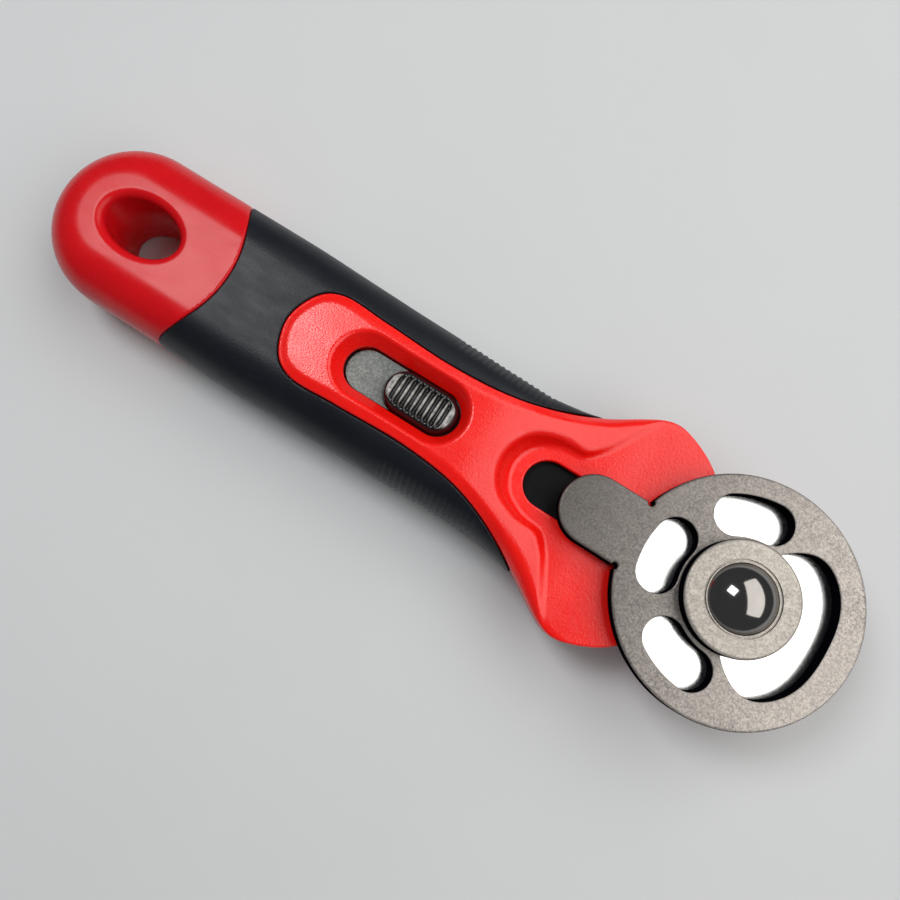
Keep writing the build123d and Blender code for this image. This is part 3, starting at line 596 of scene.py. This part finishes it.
def black_button():
    """Gloss black, with pale painted highlights along the crests of its ribs that also stand for rubbed wear.
    """
    base, dark = colour(0.006, 0.006, 0.007), colour(0.002, 0.002, 0.003)
    shader = plastic("button_black", base, dark, 0.2, 0.4, 0.003)
    black = shader.surface.inputs["Base Color"].links[0].from_socket
    place = shader.node("ShaderNodeSeparateXYZ", {"Vector": shader.place})
    crest_low, crest_high = [(BUTTON_HIGH.z - depth) * MM for depth in CREST_BAND]
    crest = shader.range(place.outputs[2], crest_low, crest_high, 0.0, 1.0)
    along = shader.math("ABSOLUTE", shader.math("SUBTRACT", place.outputs[0], BUTTON_MIDDLE * MM))
    half = BUTTON_RIBS * BUTTON_RIB_PITCH / 2
    ribbed = shader.range(along, half * MM, (half + CREST_FADE) * MM, 1.0, 0.0)
    patchy = shader.range(shader.noise(0.8, 2.0), 0.35, 0.6, 0.4, 1.0)
    # Painted highlight, which also stands for rubbed wear: pale on the rib crests.
    wear_and_highlight = shader.math("MULTIPLY", shader.math("MULTIPLY", crest, ribbed), patchy)
    shader.set(Base_Color=shader.mix(wear_and_highlight, black, colour(0.42, 0.41, 0.39)))
    return shader.material


def speckled_grey(name, light, dark, sheen=0.35, rear_painted_shade=0.0):
    """Grey moulded plastic: a salt-and-pepper grain with a metallic sheen, painted shade that darkens it
    towards the rear, and painted shade that turns its walls near-black.
    """
    shader = Shader(name)
    fine = shader.noise(0.42, 3.0, 0.7)
    coarse = shader.noise(1.3, 2.0)
    cloud = shader.noise(14.0, 2.0)
    tone = shader.mix(shader.range(fine, 0.38, 0.64, 0.0, 1.0), light, dark)
    tone = shader.mix(shader.range(coarse, 0.45, 0.75, 0.0, 0.35), tone, dark)
    tone = shader.mix(shader.range(cloud, 0.4, 0.7, 0.0, 0.25), tone, light)
    # Painted shade: the colour darkens towards the rear (the guard's tail), by the share the caller gives.
    x = shader.node("ShaderNodeSeparateXYZ", {"Vector": shader.place}).outputs[0]
    painted_shade_rear, painted_shade_front = [edge * MM for edge in GUARD_PAINTED_SHADE]
    painted_shade = shader.range(x, painted_shade_rear, painted_shade_front, rear_painted_shade, 0.0)
    tone = shader.mix(painted_shade, tone, colour(0.03, 0.026, 0.024))
    # Painted shade: faces that do not look up are darkened to near-black.
    top = shader.facing_up()
    tone = shader.mix(top, colour(0.003, 0.003, 0.005), tone)
    rough = shader.range(coarse, 0.3, 0.7, 0.33, 0.46)
    shader.set(Base_Color=tone, Roughness=rough, Normal=shader.bump(fine, 0.02))
    shader.set(Metallic=shader.math("MULTIPLY", top, sheen))
    shader.set(Specular_IOR_Level=shader.math("MULTIPLY", top, 0.6))
    return shader


def slider_plastic():
    """The slider: grey-green where it shows in the window, and painted shade that turns it black under the
    head, where it sits in shadow.
    """
    shader = speckled_grey("slider_grey", colour(0.20, 0.23, 0.215), colour(0.06, 0.075, 0.07), 0.0)
    tone = shader.surface.inputs["Base Color"].links[0].from_socket
    x = shader.node("ShaderNodeSeparateXYZ", {"Vector": shader.place}).outputs[0]
    # Painted shade: black under the head.
    shaded_front = shader.math("GREATER_THAN", x, SLIDER_SHADE_START * MM)
    shader.set(Base_Color=shader.mix(shaded_front, tone, colour(0.004, 0.004, 0.005)))
    shader.set(Specular_IOR_Level=shader.range(shaded_front, 0.0, 1.0, 0.5, 0.1))
    return shader.material


def black_chrome():
    """The dome: black with a mirror polish, and faint hairlines from handling."""
    shader = Shader("dome_black")
    hairlines = shader.noise(0.25, 4.0, 0.7, stretch=(1, 8, 1))
    cloud = shader.noise(2.5, 3.0)
    tone = shader.mix(cloud, colour(0.30, 0.285, 0.27), colour(0.22, 0.21, 0.21))
    rough = shader.range(hairlines, 0.35, 0.7, 0.07, 0.13)
    shader.set(Base_Color=tone, Metallic=1.0, Roughness=rough, Normal=shader.bump(hairlines, 0.0006))
    return shader.material


def steel(name, base, roughness, streak=(1, 1, 1)):
    """Ground steel with a fine grain; streak draws the grain out."""
    shader = Shader(name)
    streaks = shader.noise(0.5, 4.0, 0.6, stretch=streak)
    cloud = shader.noise(6.0, 3.0)
    tone = shader.mix(shader.range(cloud, 0.3, 0.7, 0.0, 0.2), base, colour(0.5, 0.52, 0.56))
    rough = shader.range(streaks, 0.3, 0.7, roughness - 0.03, roughness + 0.05)
    shader.set(Base_Color=tone, Metallic=1.0, Roughness=rough, Normal=shader.bump(streaks, 0.001))
    return shader.material


def brass():
    """Turned brass with fine rings round its axis."""
    shader = Shader("insert_brass")
    turned = shader.noise(0.4, 3.0, stretch=(1, 1, 6))
    tone = shader.mix(shader.noise(3.0), colour(0.72, 0.5, 0.2), colour(0.6, 0.4, 0.15))
    shader.set(Base_Color=tone, Metallic=1.0, Roughness=shader.range(turned, 0.3, 0.7, 0.25, 0.4))
    shader.set(Normal=shader.bump(turned, 0.004))
    return shader.material


# ---------------------------------------------------------------- build


def paint(piece, material):
    """The piece's only material."""
    piece.data.materials.clear()
    piece.data.materials.append(material)


def stand_in(node, body, finish, field, lowest, highest, step):
    """A moulded piece that stands for a CAD node and rides on its body; finish makes its material."""
    piece = piece_from_field(node + "_moulded", field, lowest, highest, step)
    paint(piece, finish())
    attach(piece, body)
    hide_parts(node)


def add_pieces():
    """The pieces whose looks need more than the CAD solid."""
    stand_in("front_cover", "handle", red_cover, cover_field,
             COVER_LOWEST, COVER_HIGHEST, COVER_STEP)

    body_low, body_high = low("body_shell"), high("body_shell")
    stand_in("body_shell", "handle", red_body, body_field,
             body_low, body_high, BODY_STEP)

    sleeve_low, sleeve_high = low("grip_sleeve"), high("grip_sleeve")
    sleeve_low.y, sleeve_high.y, sleeve_high.x = body_low.y, body_high.y, SLEEVE_FRONT
    stand_in("grip_sleeve", "handle", black_grip, sleeve_field,
             sleeve_low, sleeve_high, SLEEVE_STEP)

    stand_in("slide_button", "guard_carriage", black_button, button_field,
             BUTTON_LOW, BUTTON_HIGH, BUTTON_STEP)


def paint_nodes():
    """Materials for the CAD nodes that are shown as they are."""
    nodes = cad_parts
    light, dark = colour(0.50, 0.455, 0.415), colour(0.20, 0.18, 0.17)
    # The guard gets painted shade towards its tail.
    guard = speckled_grey("guard_grey", light, dark, rear_painted_shade=0.8).material
    collar = speckled_grey("collar_grey", colour(0.52, 0.48, 0.43), colour(0.27, 0.245, 0.22)).material
    nut_base, nut_dark = colour(0.02, 0.02, 0.022), colour(0.008, 0.008, 0.009)
    nut = plastic("nut_black", nut_base, nut_dark, 0.4, 0.3, 0.012).material
    screws = steel("screw_steel", colour(0.55, 0.55, 0.56), 0.3)
    washers = steel("washer_steel", colour(0.6, 0.6, 0.61), 0.28)
    finishes = {
        "blade_guard": guard,
        "pivot_collar": collar,
        "pivot_bolt": black_chrome(),
        "guard_slider": slider_plastic(),
        "cutting_blade": steel("blade_steel", colour(0.95, 0.955, 0.96), 0.2),
        "cover_screws": screws,
        "guard_screw": screws,
        "detent_spring": steel("spring_steel", colour(0.42, 0.44, 0.5), 0.3, (0.2, 1, 1)),
        "flat_washer": washers,
        "spring_washer": washers,
        "hand_nut": nut,
        "nut_insert": brass(),
    }
    for name, finish in finishes.items():
        paint(nodes[name], finish)


# ---------------------------------------------------------------- studio


def area_light(name, toward, distance, width, depth, power, tint=(1, 1, 1)):
    """A soft rectangular light in direction toward from the object's middle, facing it."""
    light = bpy.data.lights.new(name, "AREA")
    light.shape = "RECTANGLE"
    light.size, light.size_y = width, depth
    light.energy = power
    light.color = tint
    made = bpy.data.objects.new(name, light)
    back = Vector(toward).normalized()
    made.location = (CAD_BOX[0] + CAD_BOX[1]) / 2 + back * distance
    made.rotation_mode = "QUATERNION"
    made.rotation_quaternion = back.to_track_quat("Z", "Y")
    bpy.context.scene.collection.objects.link(made)


def studio():
    """A pale floor and soft lights."""
    ground = bpy.data.meshes.new("floor")
    half, z = 3.0, HANDLE_BOTTOM * MM
    corners = [(-half, -half, z), (half, -half, z), (half, half, z), (-half, half, z)]
    ground.from_pydata(corners, [], [(0, 1, 2, 3)])
    floor = bpy.data.objects.new("floor", ground)
    bpy.context.scene.collection.objects.link(floor)
    shader = Shader("floor_pale")
    tone = shader.mix(shader.noise(60.0), colour(0.60, 0.615, 0.63), colour(0.57, 0.585, 0.60))
    shader.set(Base_Color=tone, Roughness=0.7)
    paint(floor, shader.material)

    world = bpy.data.worlds.new("studio")
    world.use_nodes = True
    sky = world.node_tree.nodes["Background"].inputs
    sky["Color"].default_value = colour(0.9, 0.95, 1.0)
    sky["Strength"].default_value = 0.12
    bpy.context.scene.world = world
    warm = (1.0, 0.975, 0.93)
    area_light("key", (0.54, 0.35, 0.82), distance=0.7, width=1.3, depth=0.6, power=5.8, tint=warm)
    area_light("rear", (-0.47, 0.11, 0.87), distance=0.7, width=0.24, depth=0.28, power=2.1)


def camera():
    """The camera over the neck, turned so that the handle runs from upper left to lower right."""
    right = Vector((0.84323, 0.53752, -0.00545))
    up = Vector((-0.52925, 0.83194, 0.16659))
    back = Vector((0.09408, -0.13759, 0.98601))
    data = bpy.data.cameras.new("camera")
    data.lens = 32.55
    data.sensor_width = 36.0
    data.clip_start = 0.01
    made = bpy.data.objects.new("camera", data)
    turn = Matrix((right, up, back)).transposed().to_4x4()
    made.matrix_world = Matrix.Translation((-0.0464, -0.0271, 0.162)) @ turn
    bpy.context.scene.collection.objects.link(made)
    bpy.context.scene.camera = made


add_pieces()
paint_nodes()
studio()
camera()
bpy.context.scene.view_settings.view_transform = "Standard"
